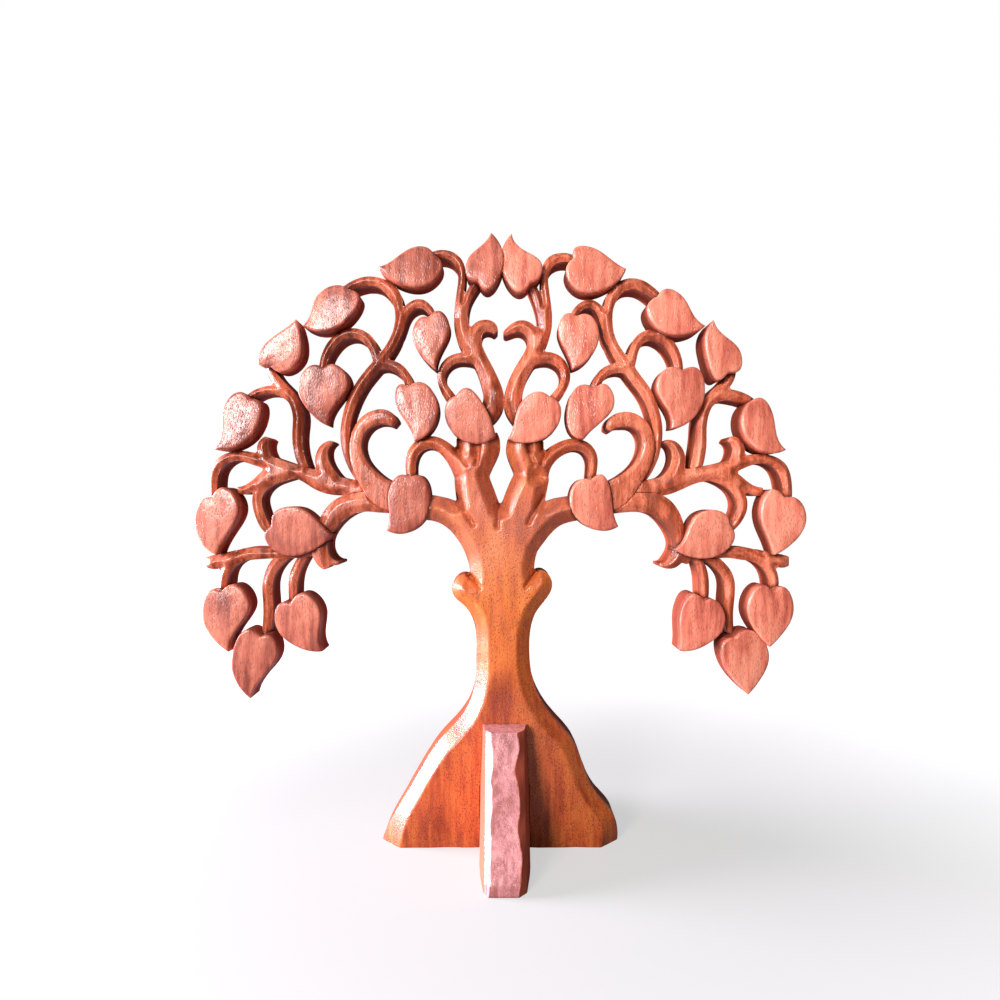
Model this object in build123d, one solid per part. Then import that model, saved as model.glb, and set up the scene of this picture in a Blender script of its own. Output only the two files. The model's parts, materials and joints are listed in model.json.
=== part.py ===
from build123d import *
import math
import os

# Carved tree on a cross foot.  Millimetres, Z up, front faces -Y, floor at Z = 0.
# Every point of a profile is (x, z) on a tree of design_width by design_height;
# tree_width and tree_height stretch the whole profile.

# ---- overall sizes -------------------------------------------------------
tree_width = 307.0
tree_height = 308.0
design_width = 307.0
design_height = 308.0

# ---- the plank and the levels of its relief -------------------------------
plank_thickness = 24.0
leaf_thickness = 16.0
bold_leaf_thickness = 20.0
bough_setback = 3.0
branch_setback = 5.0
stem_setback = 6.0

# ---- the cross foot and its half-lap joint --------------------------------
foot_thickness = 24.0
foot_length = 121.0
foot_top_length = 55.0
foot_height = 62.0
foot_toe_height = 5.0
foot_offset = 2.3
lap_depth = 31.0
lap_side_clearance = 0.4
lap_bed_clearance = 0.6

# ---- follows from the sizes above -----------------------------------------
across = tree_width / design_width
up = tree_height / design_height
plank_front = -plank_thickness / 2
plank_back = plank_thickness / 2
lap_bed = foot_height - lap_depth
tree_slot_width = foot_thickness + 2 * lap_side_clearance
tree_slot_height = lap_bed + lap_bed_clearance
foot_slot_width = plank_thickness + 2 * lap_side_clearance

# ---- trunk outline, from the floor up each side ----------------------------
TRUNK_LEFT_FLARE = [
    (-60, 0), (-56.5, 9), (-50, 20.5), (-43, 33), (-37, 43), (-31, 51.5), (-23.5, 59.5),
    (-17, 68), (-13, 79), (-12, 96), (-14, 114), (-18, 120), (-23, 124.5), (-24.5, 129.5),
    (-22, 134.5), (-18, 136), (-15, 134.5),
]
TRUNK_LEFT_SHOULDER = [(-15, 134.5), (-16, 142), (-21, 153), (-28, 160.5), (-38, 163.5)]
TRUNK_RIGHT_SHOULDER = [(38, 163.5), (30, 160.5), (22.5, 154), (18.5, 146), (17.5, 136.5)]
TRUNK_RIGHT_FLARE = [
    (17.5, 136.5), (21, 138), (25, 135.5), (26.5, 130), (23.5, 123.5), (18.5, 117),
    (15.5, 108), (15, 95), (17, 81), (22, 70), (29.5, 60.5), (37, 51.5), (41.5, 41),
    (45, 31.5), (50, 23), (57, 15), (60, 5), (60, 0),
]

# ---- carved limbs: each strand is a list of (x, z, half width) --------------
TRUNK_STRANDS = [
    [(-10, 150, 8.5), (-17.5, 159.5, 7.5), (-26.5, 167, 7), (-37, 170, 6.5), (-50, 172, 6.5)],
    [(10, 150, 8.5), (18.5, 159.5, 7.5), (27.5, 167, 7), (37, 169.5, 6.5), (50, 171.5, 6.5)],
    [(-5, 147, 12), (-9, 163, 11), (-12.3, 175.5, 10), (-15, 187, 8.4)],
    [(6, 147, 12), (9.5, 163, 11), (12.8, 175, 10.2), (16.8, 187, 8.6)],
    [(-12.5, 182, 6), (-9, 191, 5), (-5.8, 198, 5.2), (-6, 208, 4.5)],
    [(14.5, 182, 5.5), (11.5, 190, 5), (9, 196.5, 5.2), (9.5, 207, 4.5)],
    [(-15, 184, 5), (-16, 197, 6), (-15.5, 210, 6.3)],
    [(18, 186, 4.5), (16.5, 197, 5.8), (16, 210, 6)],
    [(-17, 183, 5), (-22, 193, 4.2), (-27.5, 199.5, 3.6), (-34, 203, 3.2), (-40, 202, 3),
     (-44, 198, 2.8), (-45.5, 192, 2.5), (-45, 183, 2)],
    [(20.5, 186, 4.5), (24.5, 195, 3.8), (31, 200, 3.4), (38, 202, 3), (44, 200, 2.8),
     (47, 195, 2.6), (47, 189, 2.3), (46.5, 182, 2)],
]

LIMB_STRANDS = {
    "left_scroll_bough": [
        [(-41, 174.5, 7.5), (-51.5, 175, 7.6), (-59.5, 177.5, 7.2), (-66.5, 184.5, 5.4),
         (-71.5, 193, 3.8), (-73, 202, 3), (-70.5, 210, 3.2), (-63.5, 215.5, 3.6),
         (-57, 215.5, 3.4), (-53.5, 212.5, 2)],
    ],
    "left_drooping_bough": [
        [(-41, 173, 6), (-51.5, 173, 6), (-61.5, 173, 5.6), (-72, 172.5, 5), (-80, 169.8, 5.4),
         (-86.5, 163.3, 4.8), (-90, 155.5, 3.6), (-90.5, 149, 3.2), (-88, 144, 2.4),
         (-84.5, 142, 1.4), (-81, 142, 0.8)],
        [(-92, 151, 2.8), (-91.5, 145.5, 3.2), (-89.5, 141.5, 2.6), (-88, 139, 1.4)],
    ],
    "left_hanging_branch": [
        [(-90, 149, 2.4), (-100.5, 147, 2.6), (-109, 146.5, 2.6), (-116, 146.5, 2.6),
         (-123, 146.5, 3), (-131.5, 145.5, 3.2), (-137, 142, 2.6), (-140.5, 136.5, 2.4),
         (-141.5, 131, 2.4), (-142.5, 124, 1.8)],
        [(-134, 145.5, 2.8), (-140.5, 143.5, 3.4), (-146, 142, 3.6), (-150, 142, 2.2)],
    ],
    "left_outer_stem": [
        [(-106.5, 147, 2.4), (-114, 142, 2.8), (-118, 135, 2.6), (-119, 127, 2.6),
         (-118.5, 118.5, 2.6), (-119, 110.5, 2.4), (-121, 100, 2)],
    ],
    "left_inner_stem": [
        [(-99.5, 147, 2.2), (-103, 141, 2.2), (-105.5, 134.5, 2.3), (-106, 127.5, 2.2),
         (-106.5, 116, 2)],
    ],
    "left_side_branch": [
        [(-61.5, 177, 5), (-76, 180, 4.2), (-86, 181.5, 5), (-94.5, 184.5, 4.6),
         (-101.5, 187.5, 3.6), (-109, 189.5, 3.6), (-116, 192, 3.6), (-123, 194, 3.2),
         (-130.5, 196, 2.8), (-137, 196, 2.3), (-142, 193.5, 2.4), (-145.5, 189, 2.4),
         (-146.5, 182, 2.2), (-147, 172, 2)],
        [(-85, 182, 5), (-90, 190.5, 3.8), (-91, 196, 3.2), (-89.5, 200.5, 2.2),
         (-85.5, 203.5, 0.8)],
        [(-116, 189, 2.6), (-120, 196, 3.1), (-121, 201.5, 2.8), (-118.5, 205.5, 1.4)],
        [(-112, 188, 3), (-120, 186, 2.9), (-125.5, 181.5, 2.4), (-130, 179, 2.2),
         (-134, 178.5, 1.8)],
        [(-106.5, 187.5, 2.8), (-115, 185, 3), (-121, 181, 2.7), (-124, 175, 2.4),
         (-123, 167.5, 2.4), (-120, 160.5, 2.2), (-114, 155, 1.8)],
    ],
    "left_rising_branch": [
        [(-98, 187, 2), (-102.5, 197.5, 2.4), (-103.5, 207, 2.6), (-103, 216, 2.8),
         (-105.5, 224.5, 2.6), (-110.5, 231, 2.4), (-115, 236, 2.2), (-117.5, 241, 2),
         (-118.5, 249, 1.8)],
        [(-104.5, 222, 2), (-111, 228.5, 2.2), (-118, 230, 2), (-124, 228.5, 1.8),
         (-132, 222, 1.6)],
    ],
    "left_long_branch": [
        [(-67, 178, 2.2), (-72.5, 186.5, 2.4), (-77, 195.5, 2.4), (-79, 205, 2.4),
         (-78.5, 214, 2.4), (-75.5, 224, 2.6), (-70.5, 233.5, 2.6), (-64, 241.5, 2.5),
         (-57.5, 249.5, 2.4), (-53, 258, 2.2), (-51.5, 266.5, 2), (-52, 273.5, 2.4),
         (-55, 280, 3.2), (-60, 284, 2.6), (-66, 285.5, 2.4), (-72.5, 284.5, 2.2),
         (-79, 281, 2), (-85, 274, 1.8)],
        [(-62.5, 243.5, 2.2), (-64.5, 251, 2.4), (-68.5, 256.5, 2.6), (-74.5, 259, 2.4),
         (-81, 257.5, 2.3), (-86, 253, 2.3), (-89, 247.5, 2), (-91, 236, 1.8)],
        [(-63.5, 242, 2.4), (-57, 243, 2.4), (-51.5, 240.5, 2.6), (-48, 236.5, 2.4),
         (-46, 226, 1.8)],
        [(-52.5, 258, 1.8), (-49.5, 266.5, 2), (-45.5, 272.5, 2.2), (-40.5, 274, 2.2),
         (-36.5, 271.5, 2), (-34.5, 260, 1.8)],
    ],
    "left_crown_branch": [
        [(-16, 200.5, 3.8), (-15, 209, 4), (-8, 215.5, 4.8), (-3.4, 223, 5.4),
         (-4.8, 233, 4.8), (-9, 243, 4), (-12.5, 250.5, 4), (-13, 257, 3.6), (-10, 262, 3.2),
         (-5, 262.5, 2.8), (-2, 259.5, 1.4)],
        [(-13.5, 248, 2.2), (-19, 255, 2.6), (-21, 263.5, 2.4), (-21, 272.5, 2),
         (-20, 282, 1.8), (-19.5, 290, 2), (-22, 296, 2.2), (-27, 299, 2.2), (-32.5, 299, 2),
         (-40, 293, 1.8)],
        [(-14.5, 252, 2.4), (-17.5, 261, 2), (-18, 269.5, 1.8), (-16.5, 276.5, 1.8),
         (-13.5, 282.5, 2), (-8, 292, 1.8)],
        [(-11.5, 245, 2.4), (-18, 246.5, 2.4), (-24, 245.5, 2.3), (-28.5, 241.5, 2.2),
         (-30, 236, 2), (-28, 230, 2.4), (-21, 220, 2)],
    ],
    "right_scroll_bough": [
        [(41, 173.5, 7.4), (49.5, 174.5, 7.6), (58.5, 177, 7.2), (65.5, 183, 5.4),
         (71.5, 190.5, 4), (74.5, 198.5, 3.4), (74, 207, 3.2), (69.5, 213, 3.4),
         (63, 214.5, 3.8), (57.5, 213, 3.2), (55, 209, 1.6)],
    ],
    "right_drooping_bough": [
        [(41, 172, 6), (51.5, 172, 6), (61.5, 172.5, 5.2), (72, 172.5, 5), (80, 171, 5.6),
         (86.3, 165.2, 5.2), (90, 157, 3.8), (91, 150.5, 3.2), (90, 145.5, 3.4), (87.3, 142, 3),
         (84, 140.6, 1.6), (81, 141, 0.8)],
        [(92.5, 151, 2.8), (94, 146.5, 3.2), (92.3, 142, 2.8)],
    ],
    "right_hanging_branch": [
        [(91, 148, 2.4), (102.5, 146.5, 2.4), (110, 146.5, 2.6), (116.5, 147, 2.8),
         (123, 146.5, 3.2), (130.5, 145, 3.2), (136, 141, 2.8), (139, 136, 2.6),
         (140, 130.5, 2.4), (139.5, 122, 1.8)],
        [(134, 145.5, 2.6), (139.5, 143.5, 3.2), (144, 142.5, 3.4), (147.5, 142.5, 2.4)],
    ],
    "right_outer_stem": [
        [(103.5, 147, 2.6), (111.5, 141, 2.8), (116, 135.5, 2.8), (117.5, 129, 2.8),
         (117, 121.5, 2.7), (117, 114, 2.3), (120, 100, 2)],
    ],
    "right_inner_stem": [
        [(97.5, 147.5, 2.2), (102, 141.5, 2.4), (104, 135, 2.6), (104.5, 128.5, 2.5),
         (104.5, 116, 2)],
    ],
    "right_side_branch": [
        [(61.5, 177, 5), (74, 179.5, 4.2), (84, 181, 4.8), (92.5, 184, 4.6), (100.5, 186.5, 4),
         (109, 188, 4), (116, 190, 3.6), (122.5, 192.5, 3.2), (129.5, 194.5, 2.6),
         (136.5, 194.5, 2.4), (143, 191, 2.8), (146, 184.5, 2.6), (146.5, 172, 2)],
        [(85, 182, 5), (90.5, 190.5, 3.8), (91, 196.5, 3.4), (88.5, 201.5, 2.4),
         (83.5, 203.5, 0.8)],
        [(117.5, 190, 3), (121.5, 196.5, 3.4), (121, 202, 3), (116.5, 205, 1.4)],
        [(116, 187.5, 2), (123.5, 182.5, 2.4), (128.5, 179, 2.4), (134, 178, 2.2)],
        [(107, 186, 2.4), (115, 183.5, 2.6), (120.5, 179, 2.6), (123.5, 172.5, 2.8),
         (122.5, 166.5, 2.6), (118.5, 160.5, 2.2), (113, 155, 1.8)],
    ],
    "right_rising_branch": [
        [(98.5, 186, 2.6), (101.5, 196.5, 3.2), (102.5, 205.5, 3), (103, 214, 2.8),
         (105.5, 222, 2.8), (110.5, 228.5, 2.5), (115.5, 233, 2.4), (118, 237.5, 2.2),
         (116.5, 246, 1.8)],
        [(104, 218.5, 2.2), (109, 225, 2.4), (114.5, 227.5, 2.8), (120, 227, 2.8),
         (126, 225, 2.4), (132.5, 219, 1.8)],
    ],
    "right_long_branch": [
        [(66.5, 177.5, 2.2), (71.5, 183.5, 2.4), (76.5, 191, 2.4), (79.5, 199.5, 2.4),
         (80.5, 209, 2.5), (78.5, 219, 2.8), (74.5, 228.5, 2.9), (69, 236, 3), (64, 243, 3),
         (59.5, 249.5, 2.8), (56.5, 256.5, 2.3), (55.5, 264, 2), (55.5, 271, 2.3),
         (57.5, 278, 2.9), (62.5, 283, 2.8), (69.5, 284, 2.8), (76.5, 280.5, 2.6),
         (86, 271, 2)],
        [(66, 241, 2.3), (68, 248.5, 2.3), (71, 255, 2.5), (76.5, 258, 2.7), (82.5, 256.5, 2.8),
         (88, 251, 2.7), (90.5, 245, 2.4), (91, 233, 1.8)],
        [(66, 240, 2.6), (58.5, 241, 2.4), (53, 238.5, 2.4), (50, 234.5, 2.3), (48, 225, 1.8)],
        [(56.5, 254, 2), (53.5, 263.5, 2.1), (50.5, 271, 2.2), (46, 274, 2.1), (41.5, 272.5, 2),
         (38, 261, 1.8)],
    ],
    "right_crown_branch": [
        [(18.5, 200.5, 3.8), (17.5, 208, 4), (11.5, 214.5, 4.6), (7, 222, 4.8), (7.7, 231, 4.4),
         (11, 239, 4), (15.5, 246.5, 4), (17.5, 253.5, 3.6), (15.5, 260, 3.4),
         (10.5, 262.5, 3), (5, 260.5, 2), (2, 258.5, 0.9)],
        [(18, 249, 2.4), (23, 257, 2.3), (24.5, 265, 2.1), (24, 273.5, 2), (23, 281.5, 1.9),
         (23, 289.5, 2), (25.5, 295, 2.4), (31, 297.5, 2.4), (41, 293, 1.8)],
        [(19.5, 253, 2.3), (21.5, 262.5, 2), (20.5, 271, 2), (18.5, 278, 2.1), (11, 291, 1.8)],
        [(14.5, 244.5, 2.6), (21.5, 246.5, 2.8), (27, 246, 2.8), (32, 242, 2.6),
         (33.5, 236.5, 2.4), (31.5, 230.5, 2.4), (22, 219, 2)],
    ],
}

BOUGHS = [
    "left_scroll_bough", "right_scroll_bough", "left_drooping_bough", "right_drooping_bough",
]
STEMS = ["left_outer_stem", "left_inner_stem", "right_outer_stem", "right_inner_stem"]

# ---- leaves: notch, one edge, tip, other edge -------------------------------
LEFT_LEAVES = [
    [(-33, 297), (-38, 301), (-45, 300), (-53, 294.5), (-61, 290.5),
     (-50, 282), (-36, 282), (-29, 292)],
    [(-75.5, 279.5), (-85.5, 281), (-92.5, 275.5), (-95.5, 267), (-99, 261),
     (-86, 258.5), (-74.5, 266), (-70.5, 276)],
    [(-115.5, 241), (-121.5, 242.5), (-119, 250.5), (-111, 257.5), (-102, 264.5),
     (-99.5, 256), (-100.5, 244.5), (-109.5, 238)],
    [(-125.5, 224.5), (-131.5, 228), (-138.5, 221), (-139.5, 210), (-143, 199),
     (-128, 202.5), (-120.5, 214), (-121, 223.5)],
    [(-35.5, 265.5), (-40.5, 265), (-44, 258), (-40.5, 247.5), (-32, 239),
     (-29, 250.5), (-25.5, 262.5), (-30, 268.5)],
    [(-88.5, 240), (-93.5, 241.5), (-101, 233), (-96.5, 219), (-86.5, 211),
     (-83, 221), (-76, 234), (-83.5, 242)],
    [(-46, 231), (-51, 231.5), (-52.5, 223), (-47, 212.5), (-43, 203),
     (-35.5, 207.5), (-31, 221), (-39.5, 233)],
    [(-22, 226), (-26.5, 223), (-26.5, 212), (-17.5, 203), (-2, 205.5),
     (-4, 213), (-8.5, 222), (-16.5, 230)],
    [(-45, 185.5), (-51, 186), (-56, 177), (-55.5, 166), (-57, 158.5),
     (-40, 161), (-35, 175), (-39.5, 186)],
    [(-144.5, 175.5), (-150.5, 173), (-153.5, 165), (-148.5, 150.5), (-142, 146),
     (-137, 156), (-131, 171.5), (-138, 180)],
    [(-114.5, 161), (-112.5, 168), (-101, 170), (-91, 162.5), (-84.5, 156.5),
     (-95, 148), (-112, 147.5), (-118, 156)],
    [(-140, 128), (-145.5, 128.5), (-149.5, 118), (-143, 103.5), (-135.5, 97.5),
     (-133, 107.5), (-126, 121), (-133, 131)],
    [(-105, 122), (-111, 121.5), (-113, 112), (-103, 100.5), (-88.5, 98),
     (-90.5, 107), (-90, 118), (-98.5, 127)],
    [(-120.5, 105), (-126.5, 109), (-134.5, 94), (-129.5, 78.5), (-125, 74),
     (-119.5, 84.5), (-112, 97.5), (-116, 106)],
    [(-11, 283.5), (-16, 285), (-16, 295), (-9.5, 301.5), (-4.5, 308),
     (0.5, 301), (1.2, 289), (-6.5, 279)],
]
RIGHT_LEAVES = [
    [(37, 295), (37.5, 300), (46, 300.5), (56, 294.5), (63.5, 290),
     (54, 280), (39, 279), (33, 288)],
    [(79, 276), (84, 280), (92, 275.5), (97, 266.5), (103, 261),
     (93, 256.5), (79, 260), (74, 271)],
    [(115, 238), (120.5, 239), (120.5, 248.5), (111, 257.5), (107, 264),
     (103, 257), (104.5, 244), (109, 234)],
    [(127, 224), (131.5, 225), (137, 217), (139, 206), (143.5, 199),
     (130.5, 198.5), (121.5, 209.5), (123, 220.5)],
    [(38.5, 266), (32.5, 267), (29.5, 261), (33, 249), (36.5, 239.5),
     (45.5, 245.5), (49.5, 259), (45, 266.5)],
    [(91.5, 239), (83, 239.5), (78.5, 231), (84.5, 218.5), (86, 209.5),
     (97, 214.5), (103, 229), (99.5, 239.5)],
    [(47.5, 230), (40.5, 231.5), (33.5, 219), (37.5, 205.5), (42, 204),
     (47, 209.5), (57.5, 223.5), (53, 232)],
    [(25, 225.5), (18, 228), (9.5, 221), (6, 208.5), (4, 204.5),
     (16, 202.5), (29, 211), (29.5, 222.5)],
    [(46, 184), (38.5, 183), (35, 172), (42, 161.5), (59.5, 160.5),
     (57, 168), (55.5, 179), (51.5, 186.5)],
    [(143, 175), (136.5, 179), (131, 169), (135, 153), (137.5, 146),
     (145.5, 151), (153.5, 165.5), (149, 174.5)],
    [(115.5, 161), (111, 168), (98.5, 166), (92.5, 154.5), (87.5, 149),
     (96, 145), (112, 147), (118, 155)],
    [(137, 128), (131.5, 131), (124, 120), (128, 108), (135, 100),
     (141.5, 106.5), (147.5, 120), (143, 130)],
    [(102.5, 123.5), (96, 126.5), (90.5, 116), (90.5, 104), (90, 98),
     (104.5, 101.5), (113, 113.5), (107, 124)],
    [(117.5, 105), (112, 103), (111.5, 94.5), (118, 82.5), (124.5, 76),
     (130, 82.5), (135, 97.5), (125, 108.5)],
    [(15.5, 282.5), (19.5, 284.5), (21, 292), (12.5, 299), (6, 308),
     (2, 302), (1, 289), (10, 278)],
]
BOLD_LEAVES = ["right_leaf_02", "right_leaf_03", "right_leaf_04", "right_leaf_13"]


def plank_point(x, z, depth):
    """Place a profile point in the plank at a depth along Y."""
    return Vector(x * across, depth, z * up)


def cut_through(edges, front, back):
    """Saw a closed outline out of the plank between two depths."""
    return extrude(Face(Wire(edges)), amount=back - front, dir=(0, 1, 0))


def strand_sides(stations):
    """Offset the centre line of a strand to its two edges."""
    near, far = [], []
    for i, (x, z, half) in enumerate(stations):
        x0, z0, _ = stations[max(i - 1, 0)]
        x1, z1, _ = stations[min(i + 1, len(stations) - 1)]
        run = math.hypot(x1 - x0, z1 - z0)
        nx, nz = -(z1 - z0) / run, (x1 - x0) / run
        near.append((x + nx * half, z + nz * half))
        far.append((x - nx * half, z - nz * half))
    return near, far


def strand(stations, front, back):
    """Build one tapering carved strand."""
    near, far = strand_sides(stations)
    near = [plank_point(x, z, front) for x, z in near]
    far = [plank_point(x, z, front) for x, z in far]
    edges = [
        Edge.make_spline(near),
        Edge.make_line(near[-1], far[-1]),
        Edge.make_spline(far[::-1]),
        Edge.make_line(far[0], near[0]),
    ]
    return cut_through(edges, front, back)


def joined(strands, front, back):
    """Join the strands of one limb into a single piece."""
    pieces = [strand(stations, front, back) for stations in strands]
    limb = pieces[0]
    for piece in pieces[1:]:
        limb = limb.fuse(piece)
    return limb


def leaf(points, thickness):
    """Build a pointed leaf with a notch at its stem."""
    notch, tip = points[0], points[4]
    front, back = plank_front, plank_front + thickness
    up_side = [plank_point(x, z, front) for x, z in points[:5]]
    down_side = [plank_point(x, z, front) for x, z in [tip] + points[5:] + [notch]]
    return cut_through([Edge.make_spline(up_side), Edge.make_spline(down_side)], front, back)


def trunk_body():
    """Build the trunk with its flared base, forks and stem arches."""
    left_flare = [plank_point(x, z, plank_front) for x, z in TRUNK_LEFT_FLARE]
    left_shoulder = [plank_point(x, z, plank_front) for x, z in TRUNK_LEFT_SHOULDER]
    right_shoulder = [plank_point(x, z, plank_front) for x, z in TRUNK_RIGHT_SHOULDER]
    right_flare = [plank_point(x, z, plank_front) for x, z in TRUNK_RIGHT_FLARE]
    edges = [
        Edge.make_spline(left_flare),
        Edge.make_spline(left_shoulder),
        Edge.make_line(left_shoulder[-1], right_shoulder[0]),
        Edge.make_spline(right_shoulder),
        Edge.make_spline(right_flare),
        Edge.make_line(right_flare[-1], left_flare[0]),
    ]
    body = cut_through(edges, plank_front, plank_back)
    for stations in TRUNK_STRANDS:
        body = body.fuse(strand(stations, plank_front, plank_back))
    return body


def trunk_slot():
    """Space for the foot, sawn up from the underside of the trunk."""
    height = 2 * tree_slot_height
    return Pos(foot_offset, 0, 0) * Box(tree_slot_width, 2 * plank_thickness, height)


def cross_foot():
    """Build the flared foot that crosses under the trunk."""
    half_base, half_top = foot_length / 2, foot_top_length / 2
    left_face = foot_offset - foot_thickness / 2
    right_face = foot_offset + foot_thickness / 2
    waist = (half_base - half_top) / 3
    side = [
        Vector(left_face, -half_base, foot_toe_height),
        Vector(left_face, -half_top - 2 * waist, foot_height * 0.36),
        Vector(left_face, -half_top - waist * 0.8, foot_height * 0.68),
        Vector(left_face, -half_top, foot_height),
    ]
    mirrored = [Vector(p.X, -p.Y, p.Z) for p in side[::-1]]
    edges = [
        Edge.make_line(Vector(left_face, -half_base, 0), side[0]),
        Edge.make_spline(side),
        Edge.make_line(side[-1], mirrored[0]),
        Edge.make_spline(mirrored),
        Edge.make_line(mirrored[-1], Vector(left_face, half_base, 0)),
        Edge.make_line(Vector(left_face, half_base, 0), Vector(left_face, -half_base, 0)),
    ]
    block = extrude(Face(Wire(edges)), amount=right_face - left_face, dir=(1, 0, 0))
    slot = Pos(foot_offset, 0, foot_height) * Box(
        2 * foot_thickness, foot_slot_width, 2 * lap_depth)
    return block - slot


def solid_of(shape):
    """Return the one largest solid of a carved limb."""
    return max(shape.solids(), key=lambda piece: piece.volume)


def build_leaves():
    """Build every leaf, numbered on each side, each cut back to those before it."""
    leaves = {}
    for side, outlines in (("left", LEFT_LEAVES), ("right", RIGHT_LEAVES)):
        for number, points in enumerate(outlines, 1):
            name = f"{side}_leaf_{number:02d}"
            blade = leaf(points, bold_leaf_thickness if name in BOLD_LEAVES else leaf_thickness)
            for neighbour in leaves.values():
                blade = blade - neighbour
            leaves[name] = blade
    return leaves


def limb_setback(name):
    """Depth from the plank's front to the front of a limb."""
    if name in BOUGHS:
        return bough_setback
    if name in STEMS:
        return stem_setback
    return branch_setback


def build_limbs(leaves):
    """Build the limbs, each cut back to the leaves and limbs before it."""
    limbs = {"trunk": trunk_body() - trunk_slot()}
    for name in BOUGHS + [key for key in LIMB_STRANDS if key not in BOUGHS]:
        front = plank_front + limb_setback(name)
        limb = joined(LIMB_STRANDS[name], front, plank_back)
        for neighbour in limbs.values():
            limb = limb - neighbour
        limbs[name] = limb
    for name, limb in limbs.items():
        for blade in leaves.values():
            limb = limb - blade
        limbs[name] = limb
    return limbs


def main():
    """Build and export every piece."""
    os.makedirs("parts", exist_ok=True)
    leaves = build_leaves()
    pieces = {**build_limbs(leaves), **leaves, "cross_foot": cross_foot()}
    for name, piece in pieces.items():
        export_step(solid_of(piece), f"parts/{name}.step")


if __name__ == "__main__":
    main()
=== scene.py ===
"""Hand-carved hardwood tree of life standing in a half-lapped cross foot."""
import json
import logging
import math
from dataclasses import dataclass, field
from enum import Enum
from typing import Any, Iterable, Sequence

import bmesh
import bpy
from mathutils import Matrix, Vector
from mathutils.bvhtree import BVHTree

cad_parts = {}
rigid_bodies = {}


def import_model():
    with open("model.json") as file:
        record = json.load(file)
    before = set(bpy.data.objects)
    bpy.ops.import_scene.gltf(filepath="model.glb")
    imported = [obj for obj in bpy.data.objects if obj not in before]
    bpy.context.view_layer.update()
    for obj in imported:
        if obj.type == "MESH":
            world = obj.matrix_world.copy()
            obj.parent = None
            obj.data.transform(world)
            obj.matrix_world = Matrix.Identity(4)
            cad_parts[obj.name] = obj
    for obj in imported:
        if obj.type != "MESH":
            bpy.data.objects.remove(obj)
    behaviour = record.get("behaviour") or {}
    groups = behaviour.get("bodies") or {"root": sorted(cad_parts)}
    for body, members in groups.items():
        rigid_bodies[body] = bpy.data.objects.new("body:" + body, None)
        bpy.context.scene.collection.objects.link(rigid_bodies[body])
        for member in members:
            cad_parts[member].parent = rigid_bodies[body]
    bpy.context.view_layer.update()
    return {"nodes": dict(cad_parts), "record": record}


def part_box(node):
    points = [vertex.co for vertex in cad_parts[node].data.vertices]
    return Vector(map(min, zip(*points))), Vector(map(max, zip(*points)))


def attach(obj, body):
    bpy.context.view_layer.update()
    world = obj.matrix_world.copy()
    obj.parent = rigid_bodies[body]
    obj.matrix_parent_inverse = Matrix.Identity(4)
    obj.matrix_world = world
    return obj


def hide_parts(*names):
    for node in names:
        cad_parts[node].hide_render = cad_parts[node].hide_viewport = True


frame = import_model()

MM = 0.001
MATH = "ShaderNodeMath"
VECTOR_MATH = "ShaderNodeVectorMath"
MAP_RANGE = "ShaderNodeMapRange"
NOISE = "ShaderNodeTexNoise"
MIX = "ShaderNodeMix"
STORE = "GeometryNodeStoreNamedAttribute"
# Points closer than this after carving are one point.
WELD = 0.03 * MM
# A wall this close to another node is a seam inside the plank, not a free edge.
TOUCHING = 0.08 * MM
# Depth of the skin that counts as a piece's own front.
FRONT_SKIN = 0.35 * MM
# A face this close to the floor is the underside.
FLOOR_SKIN = 0.2 * MM
# Height up to which the trunk's slot is open over the foot.
TRUNK_SLOT_TOP = 34 * MM
LOG = logging.getLogger("carved_tree")


class Side(Enum):
    """The two halves of the crown, as the viewer of the carved face sees them."""

    LEFT = "left"
    RIGHT = "right"


class Flank(Enum):
    """What is counted as a piece's free edge when its front is rounded over."""

    WHOLE_OUTLINE = "whole outline"
    FREE_EDGES = "free edges"


def srgb(code: str) -> tuple[float, float, float, float]:
    """Turn a hex sRGB colour into linear RGBA.

    Args:
        code: Six hex digits.

    Returns:
        Linear red, green, blue and an alpha of one.
    """
    parts = [int(code[i:i + 2], 16) / 255 for i in (0, 2, 4)]
    linear = [c / 12.92 if c <= 0.04045 else ((c + 0.055) / 1.055) ** 2.4 for c in parts]
    return (*linear, 1.0)


def add_node(tree: Any, kind: str, inputs: Any = (), **settings: Any) -> Any:
    """Add one node to a tree, set it and wire it.

    Args:
        tree: The node tree.
        kind: Blender's identifier of the node.
        inputs: Values, sockets or nodes, in socket order or keyed by socket name or index.
        settings: Attributes of the node, such as operation.

    Returns:
        The new node.
    """
    node = tree.nodes.new(kind)
    for name, value in settings.items():
        setattr(node, name, value)
    pairs = inputs.items() if isinstance(inputs, dict) else enumerate(inputs)
    for key, value in pairs:
        if isinstance(value, bpy.types.Node):
            value = value.outputs[0]
        if isinstance(value, bpy.types.NodeSocket):
            tree.links.new(value, node.inputs[key])
        elif value is not None:
            node.inputs[key].default_value = value
    return node


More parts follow.
